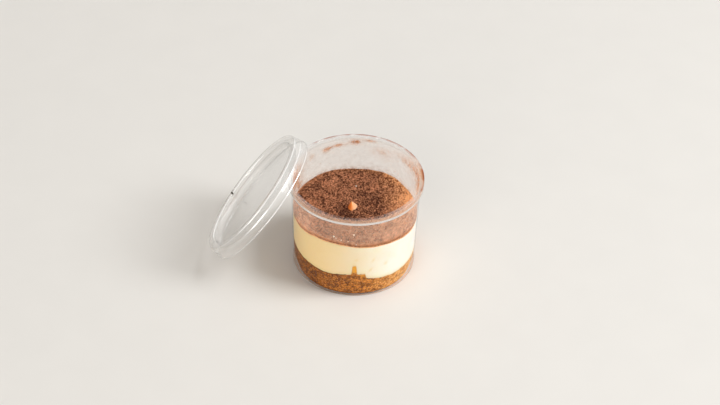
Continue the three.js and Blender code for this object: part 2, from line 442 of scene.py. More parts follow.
def layer(under, over, pot, food, centre, fractions, columns, rows, inset=None):
    """Loops of one layer that fills the pot between two height functions. A face's loops shrink
    from the wall to the centre by the fractions. The side has rows of loops up the wall, where
    the radius is the inner radius plus the bite, less the inset at that angle and height."""
    a = np.linspace(0, 2 * math.pi, columns, endpoint=False)

    def at_wall(height):
        radius = inner_radius(height, pot) + pot.bite
        if inset:
            radius = radius - inset(a, height)
        return radius * np.cos(a), radius * np.sin(a)

    def edge(surface):
        """Where a surface meets the wall: the wall is steep, so four rounds settle it."""
        x, y = at_wall(np.full_like(a, food.cocoa_level))
        for _ in range(4):
            x, y = at_wall(surface(x, y))
        return x, y, surface(x, y)

    def face(surface, order):
        x, y, _ = edge(surface)
        x = centre[0] + order[:, None] * (x - centre[0])
        y = centre[1] + order[:, None] * (y - centre[1])
        return np.stack([x, y, surface(x, y)], -1)

    low, high = edge(under)[2], edge(over)[2]
    steps = np.linspace(0, 1, rows + 1)[1:-1, None] ** 1.3
    height = low + (high - low) * steps
    side = np.stack([*at_wall(height), height], -1)
    return np.concatenate([face(under, fractions), side, face(over, fractions[::-1])])


# ---- materials --------------------------------------------------------------------------

WHITE = "#FFFFFF"


def linear(code):
    """An sRGB hex code as linear red, green and blue, with full opacity."""
    channels = [int(code[i : i + 2], 16) / 255 for i in (1, 3, 5)]
    return [c / 12.92 if c <= 0.04045 else ((c + 0.055) / 1.055) ** 2.4 for c in channels] + [1]


def add(tree, kind, values, out=0):
    """Adds a node and gives back one of its outputs. Each value goes to the node's property of
    that name or to its input of that name or number, and a socket is joined to the input."""
    node = tree.nodes.new("ShaderNode" + kind)
    for key, value in values.items():
        if isinstance(value, bpy.types.NodeSocket):
            tree.links.new(value, node.inputs[key])
        elif isinstance(key, str) and hasattr(node, key):
            setattr(node, key, value)
        else:
            node.inputs[key].default_value = value
    return node.outputs[out] if node.outputs else None


def blank(name):
    """A new material and its empty node tree."""
    material = bpy.data.materials.new(name)
    material.use_nodes = True
    material.node_tree.nodes.clear()
    return material, material.node_tree


def clear_plastic(name, pot, passed):
    """Clear thermoformed PET: glossy, with the faint waviness that pulled sheet has. The real
    sheet is so thin that light goes straight on through it, so only its gloss is drawn: a face
    gives back F0 + (1 - F0)(1 - cos)^5 of the light and lets the rest pass. Its marks are how
    milky it is, which also paints white highlights and a glow, how much that whiteness is
    tinted by dust and a painted warm glow, how brown it is, how sharply it is creased, which
    raises F0, how much of its gloss is left (airy), and how far it dims the light of a lamp, of
    which a fully dim face lets no more than the share passed go on."""
    material, tree = blank(name)
    place = add(tree, "TexCoord", {}, "Object")
    milk_and_highlight, dust_and_glow, brown, crease, airy, dim = (
        add(tree, "Attribute", {"attribute_name": mark}, "Fac")
        for mark in ("milk_and_highlight", "dust_and_glow", "brown", "crease", "airy", "dim")
    )
    hue = linear(WHITE)
    for share, tone in ((dust_and_glow, pot.lip_dust_and_glow), (brown, pot.lip_cocoa)):
        hue = add(tree, "Mix", {"data_type": "RGBA", 0: share, 6: hue, 7: linear(tone)}, 2)
    front = add(tree, "BsdfDiffuse", {"Color": hue})
    behind = add(tree, "BsdfTranslucent", {"Color": hue})
    white = add(tree, "MixShader", {0: 0.35, 1: front, 2: behind})
    clear = add(tree, "BsdfTransparent", {"Color": linear(pot.tint)})
    sheet = add(tree, "MixShader", {0: milk_and_highlight, 1: clear, 2: white})

    # Waves about 6 mm apart, a few hundredths of a millimetre deep.
    waves = add(tree, "TexNoise", {"Scale": 0.16 * MM, "Detail": 1.0, "Vector": place})
    bump = add(tree, "Bump", {"Strength": 0.06, "Distance": 0.4 / MM, "Height": waves})
    facing = add(tree, "LayerWeight", {"Blend": 0.5, "Normal": bump}, "Facing")
    fifth = add(tree, "Math", {"operation": "POWER", 0: facing, 1: 5.0})
    # A rounded fold catches light from many sides, so it glints more.
    least = add(tree, "MapRange", {"Value": crease, "To Min": 0.025, "To Max": 0.85})
    shine = add(tree, "MapRange", {"Value": fifth, "To Min": least})
    shine = add(tree, "Math", {"operation": "MULTIPLY", 0: shine, 1: airy})
    gloss = add(tree, "BsdfGlossy", {"Roughness": 0.08, "Normal": bump})
    plastic = add(tree, "MixShader", {0: shine, 1: sheet, 2: gloss})

    # A lamp's light loses its share behind the sheet; light from all round passes freely.
    shadow = add(tree, "LightPath", {}, "Is Shadow Ray")
    bounced = add(tree, "LightPath", {}, "Is Diffuse Ray")
    steep = add(tree, "MapRange", {"Value": fifth, "To Min": passed, "To Max": 0.0})
    kept = add(tree, "Mix", {0: dim, 2: 1.0, 3: steep})
    kept = add(tree, "Mix", {0: shadow, 2: 1.0, 3: kept})
    through = add(tree, "BsdfTransparent", {"Color": kept})
    straight = add(tree, "Math", {"operation": "MAXIMUM", 0: shadow, 1: bounced})
    both = add(tree, "MixShader", {0: straight, 1: plastic, 2: through})
    add(tree, "OutputMaterial", {"Surface": both})
    return material


def sifted_cocoa(name, food):
    """Sifted cocoa powder: matt, painted nearly black-brown as shade between its clumps and paler
    as light on them, and more orange where light comes through the right wall, as painted
    light, and a little round its edge."""
    material, tree = blank(name)
    place = add(tree, "TexCoord", {}, "Object")
    tone, warm = (
        add(tree, "Attribute", {"attribute_name": mark}, "Fac") for mark in ("tone", "warm")
    )
    # Crumbs of powder 0.5 mm across, each of its own tone, with dark gaps between them painted as
    # shade, and finer grain.
    crumbs = add(tree, "TexVoronoi", {"Scale": 1.9 * MM, "Vector": place}, "Distance")
    each = crumbs.node.outputs["Color"]
    fine, clumps, patch = (
        add(
            tree,
            "TexNoise",
            {"Scale": pitch * MM, "Detail": detail, "Roughness": rough, "Vector": place},
        )
        for pitch, detail, rough in ((1.25, 3.0, 0.65), (0.42, 2.0, 0.5), (0.11, 2.0, 0.5))
    )
    # From its low to its high value, each moves the tone by the last number down and up.
    for source, low, high, most in (
        (crumbs, 0.15, 0.7, -0.15),
        (each, 0.2, 0.8, 0.5),
        (fine, 0.34, 0.66, 0.4),
        (clumps, 0.34, 0.66, 0.22),
        (patch, 0.3, 0.7, 0.14),
    ):
        span = {"From Min": low, "From Max": high, "To Min": -most, "To Max": most}
        part = add(tree, "MapRange", {"Value": source, **span})
        tone = add(tree, "Math", {"operation": "ADD", 0: tone, 1: part})
    tone = add(tree, "MapRange", {"Value": tone})
    brown, rust = (
        add(tree, "Mix", {"data_type": "RGBA", 0: tone, 6: linear(dark), 7: linear(light)}, 2)
        for dark, light in (
            (food.cocoa_dark, food.cocoa_light),
            (food.cocoa_rust, food.cocoa_warm),
        )
    )
    hue = add(tree, "Mix", {"data_type": "RGBA", 0: warm, 6: brown, 7: rust}, 2)
    bump = add(tree, "Bump", {"Strength": 0.6, "Distance": 0.3 / MM, "Height": fine})
    finish = {"Roughness": 0.92, "Specular IOR Level": 0.25, "Base Color": hue, "Normal": bump}
    add(tree, "OutputMaterial", {"Surface": add(tree, "BsdfPrincipled", finish)})
    return material


def mascarpone(name, food):
    """Mascarpone cream: light goes well into it, so its shaded side glows warm, and its surface
    is smooth and slightly wet. It is stained yellow along the sponge and in faint streaks. Its
    colour is painted whiter on its lit right side and warmer on its shaded left side, as
    painted light and shade, and the tip is painted amber on its shaded side, as painted shade."""
    material, tree = blank(name)
    place = add(tree, "TexCoord", {}, "Object")
    stain, amber, pale = (
        add(tree, "Attribute", {"attribute_name": mark}, "Fac") for mark in ("stain", "amber", "pale")
    )
    # Lazy folds about 12 mm long.
    folds = add(tree, "TexNoise", {"Scale": 0.09 * MM, "Detail": 2.0, "Vector": place})
    span = {"From Min": 0.45, "From Max": 0.75, "To Max": 0.18}
    cloud = add(tree, "MapRange", {"Value": folds, **span})
    stain = add(tree, "Math", {"operation": "ADD", "use_clamp": True, 0: stain, 1: cloud})
    # From the warm colour of the shaded left side to the whiter lit right side: painted shade and
    # light.
    hue = linear(food.cream_rich)
    for share, tone in ((pale, food.cream), (stain, food.cream_deep), (amber, food.tip)):
        hue = add(tree, "Mix", {"data_type": "RGBA", 0: share, 6: hue, 7: linear(tone)}, 2)
    bump = add(tree, "Bump", {"Strength": 0.15, "Distance": 0.4 / MM, "Height": folds})
    finish = {
        "Roughness": 0.45,
        "Specular IOR Level": 0.25,
        "Subsurface Weight": 0.4,
        "Subsurface Radius": (3 / MM, 2 / MM, 1 / MM),
        "Subsurface Scale": 1.0,
        "Base Color": hue,
        "Normal": bump,
    }
    add(tree, "OutputMaterial", {"Surface": add(tree, "BsdfPrincipled", finish)})
    return material


def soaked_sponge(name, food):
    """Coffee-soaked sponge: a crumb with pores one to two millimetres wide, amber where it is
    thin on coffee, with a moist shine. Its pores are painted dark as shade. It is painted darker
    as shade on its left and along the floor, darker in a line under its top on the left, and
    paler as light on its right."""
    material, tree = blank(name)
    place = add(tree, "TexCoord", {}, "Object")
    soak_and_shade, amber, lit_side = (
        add(tree, "Attribute", {"attribute_name": mark}, "Fac") for mark in ("soak_and_shade", "amber", "lit_side")
    )
    # Pores are wider than they are tall, because the sponge is pressed down.
    squash = add(tree, "Mapping", {"Scale": (1.0, 1.0, 1.2), "Vector": place})
    pores = add(tree, "TexVoronoi", {"Scale": 0.62 * MM, "Vector": squash}, "Distance")
    crumb, blotch = (
        add(tree, "TexNoise", {"Scale": pitch * MM, "Detail": detail, "Vector": squash})
        for pitch, detail in ((0.95, 2.0), (0.38, 3.0))
    )
    # The pores are painted dark, as the shade in them.
    light, dark, wet = (
        add(tree, "MapRange", {"Value": source, "From Min": low, "From Max": high, "To Max": most})
        for source, low, high, most in (
            (crumb, 0.40, 0.60, 1.0),
            (pores, 0.34, 0.10, 0.95),
            (blotch, 0.46, 0.62, 0.7),
        )
    )
    wet = add(tree, "Math", {"operation": "MAXIMUM", 0: dark, 1: wet})
    # Light, middle and dark crumb, each paler on the lit right side: painted light.
    high, middle, low = (
        add(tree, "Mix", {"data_type": "RGBA", 0: lit_side, 6: linear(damp), 7: linear(dried)}, 2)
        for damp, dried in (
            (food.sponge_light, food.sponge_pale),
            (food.sponge_mid, food.sponge_light),
            (food.sponge_dark, food.sponge_mid),
        )
    )
    # The first two are darker on the left and along the floor as painted shade, and in a line under
    # the top on the left.
    high, middle = (
        add(tree, "Mix", {"data_type": "RGBA", 0: soak_and_shade, 6: tone, 7: linear(soaked)}, 2)
        for tone, soaked in ((high, food.sponge_mid), (middle, food.sponge_dark))
    )
    hue = middle
    for share, tone in ((light, high), (wet, low), (amber, linear(food.amber))):
        hue = add(tree, "Mix", {"data_type": "RGBA", 0: share, 6: hue, 7: tone}, 2)
    bump = add(tree, "Bump", {"Strength": 0.5, "Distance": 0.5 / MM, "Height": pores})
    finish = {
        "Roughness": 0.5,
        "Specular IOR Level": 0.1,
        "Subsurface Weight": 0.15,
        "Subsurface Radius": (1.2 / MM, 0.6 / MM, 0.3 / MM),
        "Subsurface Scale": 1.0,
        "Base Color": hue,
        "Normal": bump,
    }
    add(tree, "OutputMaterial", {"Surface": add(tree, "BsdfPrincipled", finish)})
    return material


def dust_film(name, pot):
    """A film of cocoa dust stuck to the plastic: it scatters a little warm light, also through
    to its other side, and lets the rest straight through."""
    material, tree = blank(name)
    place = add(tree, "TexCoord", {}, "Object")
    dust, rust, uneven = (
        add(tree, "Attribute", {"attribute_name": mark}, "Fac") for mark in ("dust", "rust", "uneven")
    )
    # Mottles of about 3 mm, as dust gathers, strong in front and faint where it is thin.
    mottle = add(tree, "TexNoise", {"Scale": 0.36 * MM, "Detail": 4.0, "Vector": place})
    faint, strong = (
        add(
            tree,
            "MapRange",
            {"Value": mottle, "From Min": 0.34, "From Max": 0.66, "To Min": thin, "To Max": thick},
        )
        for thin, thick in ((0.85, 1.15), (0.6, 1.4))
    )
    thick = add(tree, "Mix", {0: uneven, 2: faint, 3: strong})
    # Fine dust scatters most light forwards, so it casts little shade.
    shadow = add(tree, "LightPath", {}, "Is Shadow Ray")
    shade = add(tree, "MapRange", {"Value": shadow, "To Min": 1.0, "To Max": 0.12})
    cover = add(tree, "Math", {"operation": "MULTIPLY", 0: dust, 1: shade})
    cover = add(tree, "Math", {"operation": "MULTIPLY", "use_clamp": True, 0: cover, 1: thick})
    ends = {6: linear(pot.haze), 7: linear(pot.rust)}
    hue = add(tree, "Mix", {"data_type": "RGBA", 0: rust, **ends}, 2)
    powder = add(tree, "BsdfDiffuse", {"Color": hue})
    glow = add(tree, "BsdfTranslucent", {"Color": hue})
    grains_lit = add(tree, "MixShader", {0: 0.5, 1: powder, 2: glow})
    both = add(tree, "MixShader", {0: cover, 1: add(tree, "BsdfTransparent", {}), 2: grains_lit})
    add(tree, "OutputMaterial", {"Surface": both})
    return material


def plain(name, code, roughness):
    """A plain material with faint cloudiness about 25 mm wide, for the stage and small flecks."""
    material, tree = blank(name)
    place = add(tree, "TexCoord", {}, "Object")
    noise = add(tree, "TexNoise", {"Scale": 0.04 * MM, "Vector": place})
    cloud = add(tree, "MapRange", {"Value": noise, "From Min": 0.3, "From Max": 0.7})
    pale = linear(code)
    dull = [channel * 0.985 for channel in pale[:3]] + [1]
    hue = add(tree, "Mix", {"data_type": "RGBA", 0: cloud, 6: dull, 7: pale}, 2)
    finish = {"Roughness": roughness, "Specular IOR Level": 0.3, "Base Color": hue}
    add(tree, "OutputMaterial", {"Surface": add(tree, "BsdfPrincipled", finish)})
    return material


# ---- the clear pot and lid --------------------------------------------------------------

POT_SEGMENTS, POT_STEPS = 240, 6
LID_SEGMENTS, LID_STEPS = 200, 8
LAMP_PASSED = {"pot": 0.97, "lid": 0.25}  # share of a lamp's light that goes on behind a face


def pot_profile(pot):
    """The pot's section as (radius, height, cut): from the middle of the hollow under the floor
    over the foot ring, up the outside, round the lip and down the inside."""
    floor_top = pot.foot + pot.wall
    lip_low = pot.height - pot.lip_drop
    under_lip = pot.height - pot.lip_wall
    lip_inner = pot.rim - pot.lip_wall
    inside = pot.shoulder - pot.wall
    ring_inner = pot.base - pot.corner - pot.foot_width
    return [
        (0, pot.foot, 0),
        (ring_inner, pot.foot, 0.2),
        (ring_inner + pot.foot, 0, 0.2),
        (pot.base, 0, pot.corner),
        (pot.shoulder, lip_low, 0.6),
        (pot.shoulder + 0.05, under_lip, 0.3),
        (lip_inner, under_lip, 0.3),
        (lip_inner, lip_low, 0.25),
        (pot.rim, lip_low, 0.25),
        # Two rows end the white band along the lip's lower edge, a painted highlight, and one the
        # brown line.
        (pot.rim, lip_low + 1.4, 0.1),
        (pot.rim, lip_low + 1.9, 0.1),
        (pot.rim, pot.height - 0.6, 0.1),
        (pot.rim, pot.height, 0.5),
        (inside, pot.height, 0.15),
        (inside, lip_low, 0.6),
        (inner_radius(floor_top, pot), floor_top, 1.2),
        (0, floor_top, 0),
    ]


def pot_marks(x, y, z, pot):
    """The pot's milkiness, dust, folds and gloss. The lip's outer face has dust in front and on
    the right, and a painted white highlight along its lower edge, with a faint one on the
    inner top edge at the sides. At the back a broken brown line of cocoa runs on its top edge.
    Its top and the inside of the wall are clear, and the foot ring is painted with a warm glow:
    painted light."""
    lip_low = pot.height - pot.lip_drop
    inside = pot.shoulder - pot.wall
    radius = np.hypot(x, y)
    degrees = np.degrees(np.arctan2(y, x))
    front = ramp(-y, -8, 12)
    outer = ramp(radius - pot.rim, -0.5, -0.2)
    face = outer * ramp(z - lip_low, -0.2, 0) * (z < pot.height - 0.1)
    # Painted highlight: a white band along the lip's lower edge.
    low_edge_highlight = outer * np.exp(-(((z - lip_low - 0.5) / 1.05) ** 4))
    top_edge = outer * bell(z - pot.height + 0.1, 0.3)
    # Painted highlight: a faint white line on the inner top edge at the sides.
    inner_edge_highlight = bell(radius - inside, 0.3) * bell(z - pot.height, 0.35)
    inner_edge_highlight = inner_edge_highlight * ramp(np.abs(x), 14, 22) * (y < 6)
    corner = ramp(radius - pot.rim, -0.95, -0.65) * ramp(z - pot.height, -0.8, -0.5)
    broken = 0.75 + 0.5 * rolling(radius * np.radians(degrees), np.zeros_like(z), 2.5, 51)
    cocoa_line = ramp(degrees, -25, -5) * ramp(-degrees, -142, -122) * broken * corner
    flank = bell(degrees - 5, 30) * (z > lip_low - 0.1) * (radius > inside - 0.1)
    # Painted light: a warm glow in the foot ring.
    foot = (radius > pot.base - 1.6) * ramp(-z, -0.9, -0.6) * (y < 5)
    clear_wall = (radius < inside + 0.1) & (z > pot.foot + 0.1)
    clear_top = (z > pot.height - 0.25) & (y < 8)
    milk_and_highlight = 0.02 + 0.06 * face + 0.15 * inner_edge_highlight + 0.95 * cocoa_line + 0.3 * flank + 0.4 * foot
    return {
        "milk_and_highlight": milk_and_highlight + front * (0.18 * face + 0.85 * low_edge_highlight + 0.15 * top_edge),
        "dust_and_glow": np.clip(face * (0.2 + 0.7 * front) * (1 - low_edge_highlight) + flank + foot, 0, 1),
        "brown": np.clip(1.2 * cocoa_line + 0.45 * front * top_edge, 0, 1),
        "crease": np.clip(front * low_edge_highlight + 0.25 * (1 - front) * top_edge, 0, 1),
        "dim": np.ones_like(z),
        "airy": np.where(clear_wall | clear_top, 0.2, 1.0),
    }


class TIRAMISU_OT_pot(bpy.types.Operator):
    """Builds the clear pot: a thin tapered cup on a low foot ring, with a rolled lip"""

    bl_idname = "tiramisu.pot"
    bl_label = "Clear pot"

    def execute(self, context):
        pot = sizes("tiramisu_pot")
        corners, faces = turned(eased(pot_profile(pot), POT_STEPS), POT_SEGMENTS)
        plastic = clear_plastic("Clear PET sheet, pot", pot, LAMP_PASSED["pot"])
        marks = pot_marks(*corners.T, pot)
        put("pot_shell", corners, faces, plastic, ["pot"], marks=marks)
        return {"FINISHED"}


def lid_stand(lid):
    """The turn and place of the leaning lid: it is tipped over by its tilt, turned to its side of
    the pot, and stands on the lowest point of its flange."""
    away = Vector((math.cos(lid.azimuth), math.sin(lid.azimuth), 0))
    side = Vector((-away.y, away.x, 0))
    foot = away * lid.reach + side * lid.side_step
    foot.z = lid.flange * math.sin(lid.tilt)
    turn = Matrix.Rotation(lid.azimuth, 4, "Z") @ Matrix.Rotation(lid.tilt, 4, "Y")
    return np.array(Matrix.Translation(foot) @ turn)


def stood(corners, lid):
    """Corners that are given about the lid's own axis, moved to where the lid leans."""
    stand = lid_stand(lid)
    return corners @ stand[:3, :3].T + stand[:3, 3]


def lid_profile(lid):
    """The lid's section as (radius, height, cut): from the middle of the panel's underside over
    the plug, down the inside of the skirt, round the flange, and back over the top ring."""
    panel = lid.height - lid.recess
    plug_inner = lid.plug - lid.wall
    ring_inner = lid.ring - lid.wall
    skirt_inner = lid.skirt - lid.wall
    return [
        (0, panel - lid.wall, 0),
        (lid.plug - lid.draft, panel - lid.wall, 0.7),
        (lid.plug, lid.height - lid.wall, 0.2),
        (ring_inner, lid.height - lid.wall, 0.5),
        (ring_inner, lid.step + 0.2, 0.2),
        (skirt_inner, lid.step - 0.4, 0.2),
        (skirt_inner, 0, 0.15),
        (lid.flange, 0, 0.2),
        (lid.flange, lid.wall, 0.2),
        (lid.skirt, lid.wall + 0.1, 0.2),
        (lid.skirt, lid.step, 0.4),
        (lid.ring, lid.step + 0.6, 0.4),
        (lid.ring, lid.height, 1.1),
        (plug_inner, lid.height, 1.2),
        (plug_inner - lid.draft, panel, 0.6),
        (0, panel, 0),
    ]


def lid_marks(radius, height, above_table, lid):
    """The lid's milkiness, folds and gloss: the folds are painted a little white, as highlights,
    and catch the light. Near the table the sheet is painted whiter, as light, and lets a lamp's
    light through."""
    plug_inner = lid.plug - lid.wall
    milk_and_highlight = np.where(radius > plug_inner - lid.draft - 0.1, 0.06, 0.05)
    crease = np.zeros_like(radius)
    # Each fold's radius and height, and how white it is painted, as a highlight.
    for fold, up, white in (
        (lid.ring - 0.3, lid.height - 0.3, 0.26),
        (plug_inner + 0.2, lid.height - 0.2, 0.22),
        (lid.skirt, lid.step, 0.16),
        (lid.flange, lid.wall / 2, 0.2),
    ):
        apart = np.hypot(radius - fold, height - up)
        crease = crease + bell(apart, 0.42)
        milk_and_highlight = milk_and_highlight + white * bell(apart, 0.7)
    crease = np.clip(crease, 0, 1)
    return {
        # Painted light: the sheet is whiter near the table.
        "milk_and_highlight": milk_and_highlight + 0.16 * ramp(-above_table, -24, -4),
        "airy": np.where(radius > plug_inner + 0.3, 0.1 + 0.9 * crease, 1.0),
        "crease": crease,
        "dim": ramp(above_table, 6, 32),
    }


class TIRAMISU_OT_lid(bpy.types.Operator):
    """Builds the clear snap lid and leans it on the pot's rim"""

    bl_idname = "tiramisu.lid"
    bl_label = "Leaning lid"

    def execute(self, context):
        lid = sizes("tiramisu_lid")
        flat, faces = turned(eased(lid_profile(lid), LID_STEPS), LID_SEGMENTS)
        corners = stood(flat, lid)
        radius = np.hypot(flat[:, 0], flat[:, 1])
        marks = lid_marks(radius, flat[:, 2], corners[:, 2], lid)
        plastic = clear_plastic("Clear PET sheet, lid", sizes("tiramisu_pot"), LAMP_PASSED["lid"])
        put("lid_shell", corners, faces, plastic, ["lid"], marks=marks)
        return {"FINISHED"}


# ---- the food ---------------------------------------------------------------------------

SPONGE_COLUMNS, SPONGE_ROWS = 640, 30
SPONGE_FRACTIONS = np.array([0.1, 0.3, 0.5, 0.7, 0.85, 0.95, 1.0])
CREAM_COLUMNS, CREAM_ROWS = 640, 24
CREAM_FRACTIONS = np.concatenate(
    [np.linspace(0.004, 0.13, 26), [0.15, 0.2, 0.27, 0.38, 0.5, 0.65, 0.8, 0.9, 0.96, 1.0]]
)
COCOA_COLUMNS, COCOA_ROWS = 440, 6
COCOA_RINGS = 108
COCOA_HOLE = 2.3  # radius of the hole that the tip comes through
OVERLAP = 0.12  # how far the sponge sinks into the floor and the cream into the sponge
COCOA_OVERLAP = 0.1  # how far the cream rises into the cocoa
BEHIND = 0.03  # how far the cream stays behind the sponge and the cocoa at the wall


class TIRAMISU_OT_sponge(bpy.types.Operator):
    """Builds the coffee-soaked sponge that fills the bottom of the pot"""

    bl_idname = "tiramisu.sponge"
    bl_label = "Sponge"

    def execute(self, context):
        pot, food = sizes("tiramisu_pot"), sizes("tiramisu_food")
        floor = pot.foot + pot.wall - OVERLAP

        def under(x, y):
            return np.full(np.shape(x), floor)

        def over(x, y):
            return sponge_height(x, y, food, pot)

        def inset(a, z):
            """The sponge narrows towards the floor, more at its sides than at its front."""
            low = ramp(floor - z, -8, 0) ** 2
            return low * 1.8 * np.cos(a) ** 6 + 0.5 * np.exp(-(z - floor) / 0.4)

        around, up = SPONGE_COLUMNS, SPONGE_ROWS
        loops = layer(under, over, pot, food, (0, 0), SPONGE_FRACTIONS, around, up, inset)
        corners, faces = skin(loops, (0, 0, floor), (0, 0, float(over(0.0, 0.0))))
        x, y, z = corners.T
        below = over(x, y) - z
        # Painted shade: darker on the left, the side away from the key, and along the floor; also
        # darker in a line just under the top on the left.
        left = ramp(-x, -4, 22)
        line = bell(below, 0.7) * ramp(-x, 6, 12)
        base = bell(z - floor, 0.9) * ramp(-x, -24, -8)
        tongue = (y < -20) * ramp(z, 17.0, 17.8)
        stub = (y < -20) * hill(x, below, (5.6, 0.9), 1.3, 1.3)
        marks = {
            "soak_and_shade": np.clip(0.7 * left + 0.6 * line + 0.8 * base, 0, 0.95),
            # Painted light: paler on the lit right side.
            "lit_side": ramp(x, 8, 30),
            "amber": np.clip(0.95 * tongue + 0.6 * stub, 0, 1),
        }
        material = soaked_sponge("Coffee-soaked sponge", food)
        put("sponge_body", corners, faces, material, ["sponge_layer"], marks=marks)
        return {"FINISHED"}


# Faint streaks in the cream on the front wall: place (x, z), half width, stretch and turn.
STREAKS = (
    ((11.1, 25.8), 0.6, 2.4, 60),
    ((9.7, 18.8), 0.6, 3.0, 50),
    ((18.0, 21.2), 0.8, 1.2, 0),
    ((1.8, 26.9), 0.7, 1.6, 20),
)
TIP_HEIGHT = 4.6


class TIRAMISU_OT_cream(bpy.types.Operator):
    """Builds the mascarpone cream and the piping tip that stands on it"""

    bl_idname = "tiramisu.cream"
    bl_label = "Cream"

    def execute(self, context):
        pot, food = sizes("tiramisu_pot"), sizes("tiramisu_food")

        def under(x, y):
            return sponge_height(x, y, food, pot) - OVERLAP

        def over(x, y):
            """Just above the cocoa's underside, with the tip: a blunt cone on an uneven foot."""
            turn = np.arctan2(y - TIP[1], x - TIP[0])
            reach = 3.0 + 1.3 * np.cos(turn + 0.7) + 0.35 * np.cos(3 * (turn + math.pi / 2))
            peak = np.clip(1 - np.hypot(x - TIP[0], y - TIP[1]) / reach, 0, 1) ** 0.85
            level = cocoa_height(x, y, food) - food.cocoa_depth + COCOA_OVERLAP
            return level + TIP_HEIGHT * peak

        def inset(a, z):
            return BEHIND

        around, up = CREAM_COLUMNS, CREAM_ROWS
        loops = layer(under, over, pot, food, TIP, CREAM_FRACTIONS, around, up, inset)
        x, y = np.array(TIP)
        corners, faces = skin(loops, (x, y, float(under(x, y))), (x, y, float(over(x, y))))
        x, y, z = corners.T
        stain = 0.5 * bell(z - sponge_height(x, y, food, pot), 1.5)
        for place, width, stretch, turn in STREAKS:
            stain = stain + (y < 0) * 0.5 * hill(x, z, place, width, stretch, math.radians(turn))
        # The tip is painted amber on its side away from the key: painted shade in the syrup's colour.
        on_tip = (np.hypot(x - TIP[0], y - TIP[1]) < 5) * (z > 34)
        turn = np.arctan2(y - TIP[1], x - TIP[0] - 0.15)
        shaded = np.clip(0.8 + 0.8 * np.cos(turn - math.radians(190)), 0.6, 1)
        # The pale mark paints the cream whiter towards its lit right side as painted light, and it
        # keeps the warmer shaded-side colour on the left as painted shade.
        marks = {
            "stain": np.clip(stain, 0, 1),
            "amber": 0.95 * on_tip * shaded,
            "pale": ramp(x, -26, 20) ** 1.5,
        }
        material = mascarpone("Mascarpone cream", food)
        put("cream_body", corners, faces, material, ["cream_layer"], marks=marks)
        return {"FINISHED"}


def cocoa_tone(x, y):
    """How light the cocoa is, from 0 to 1: soft noise and patches, lighter and darker. The dark
    patch at the dimple is a painted shadow of the tip, the bright patch near the right wall is
    painted light that comes through the wall, and the band along the back edge is a painted
    rim highlight.
    """
    tone = 0.40 + 0.06 * rolling(x, y, 4.5, 33)
    for change, place, width, stretch, turn in (
        (0.12, (-9, 14), 9, 1, 0),
        # Painted light: where light comes through the right wall.
        (0.65, (31, 11), 8, 1.8, 1.2),
        (-0.06, (-2, 29), 7, 2.5, 0),
        (-0.10, (-26, 13), 9, 1, 0),
        # Painted shadow of the tip, beside it.
        (-0.36, DIMPLE, 3.4, 1.5, -0.6),
        (-0.26, (-3, -7), 6, 1.8, 0),
        (-0.38, (9, 9), 8, 1.2, 0),
        (-0.16, (15, -2), 7, 1.4, 0),
    ):
        tone = tone + change * hill(x, y, place, width, stretch, turn)
    # A lighter band along the back edge: painted rim highlight.
    return tone + 0.35 * ramp(np.hypot(x, y), 34.0, 34.6) * (y > 0)


def cocoa_orange_and_light(x, y, pot, food):
    """How orange the cocoa is: most along the right wall, as painted light that comes through the
    wall, and a little all round the edge.
    """
    edge = bell(inner_radius(food.cocoa_level, pot) - np.hypot(x, y), 2.2)
    right = ramp(x + 0.2 * y + 3 * rolling(x, y, 5, 31), 15, 35)
    return np.clip(0.08 + 0.85 * right + 0.5 * edge * np.clip((x + 20) / 40, 0.3, 1), 0, 0.98)


class TIRAMISU_OT_cocoa(bpy.types.Operator):
    """Builds the skin of sifted cocoa, with the hole that the piping tip comes through"""

    bl_idname = "tiramisu.cocoa"
    bl_label = "Cocoa"

    def execute(self, context):
        pot, food = sizes("tiramisu_pot"), sizes("tiramisu_food")
        wall_at = inner_radius(food.cocoa_level, pot)
        hole = COCOA_HOLE / wall_at

        def under(x, y):
            return cocoa_height(x, y, food) - food.cocoa_depth

        def over(x, y):
            """The relief is lower within 1.2 mm of the wall."""
            fade = np.clip((wall_at - np.hypot(x, y)) / 1.2, 0.3, 1)
            return cocoa_height(x, y, food) + cocoa_relief(x, y, food) * fade

        fractions = np.concatenate([[hole], np.linspace(0.075, 1.0, COCOA_RINGS)])
        loops = layer(under, over, pot, food, TIP, fractions, COCOA_COLUMNS, COCOA_ROWS)
        corners, faces = skin(loops, wrap=True)
        x, y, z = corners.T
        relief = z - cocoa_height(x, y, food)
        # The cut edge against the wall is lit through the cream and looks orange.
        side = ramp(-relief, 0, 0.5) * (np.hypot(x, y) > wall_at - 3)
        # The tone is darker in the relief's hollows and lighter on its heaps: painted shade and
        # light.
        marks = {
            "tone": cocoa_tone(x, y) + 0.5 * np.clip(relief, -0.6, 1) + 1.3 * side,
            "warm": np.maximum(cocoa_orange_and_light(x, y, pot, food), 0.95 * side),
        }
        material = sifted_cocoa("Sifted cocoa", food)
        put("cocoa_skin", corners, faces, material, ["cocoa_layer"], marks=marks)
        return {"FINISHED"}


# ---- grains, dust and crumbs ------------------------------------------------------------

FILM_COLUMNS, FILM_ROWS = 420, 44
FILM_FACES = (0.02, 0.07)  # the two faces of the film, from the wall inwards
FILM_START = 0.1  # above the cocoa

# Radius of the smallest grain, and how much larger the largest is.
GRAIN_RADIUS, GRAIN_SPREAD = 0.18, 0.24
WALL_GRAIN_RADIUS, WALL_GRAIN_SPREAD = 0.07, 0.15
TIP_BARE = 2.6  # no loose grains so near to the middle of the tip

